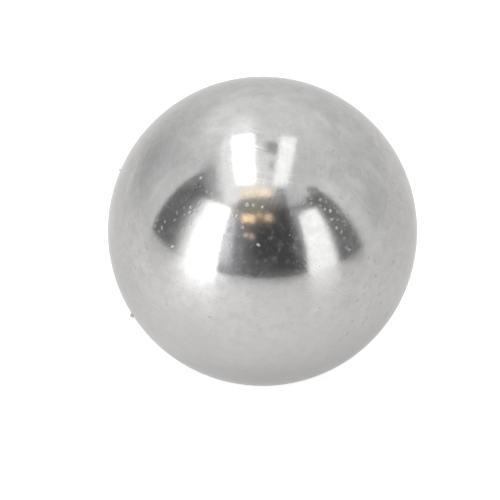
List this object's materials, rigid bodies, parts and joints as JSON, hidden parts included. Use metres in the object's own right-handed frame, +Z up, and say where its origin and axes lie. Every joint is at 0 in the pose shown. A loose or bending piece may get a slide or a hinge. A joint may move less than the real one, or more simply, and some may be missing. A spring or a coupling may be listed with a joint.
{
  "type": "steel ball",
  "caption": "Loose polished steel ball, a true sphere that rolls, locates or locks between seats in bearings, detents and catches.",
  "frame": {"origin": "centre of the ball", "axes": "+Z up, through the ball's centre and its seat; the ball is the same about every axis, so X and Y are free"},
  "size_m": [0.007, 0.007, 0.007],
  "materials": {
    "polished_steel": "mirror polished bearing steel, lightly dusty with faint lapping marks"
  },
  "bodies": {
    "root": {"ball": "polished_steel"}
  },
  "joints": []
}
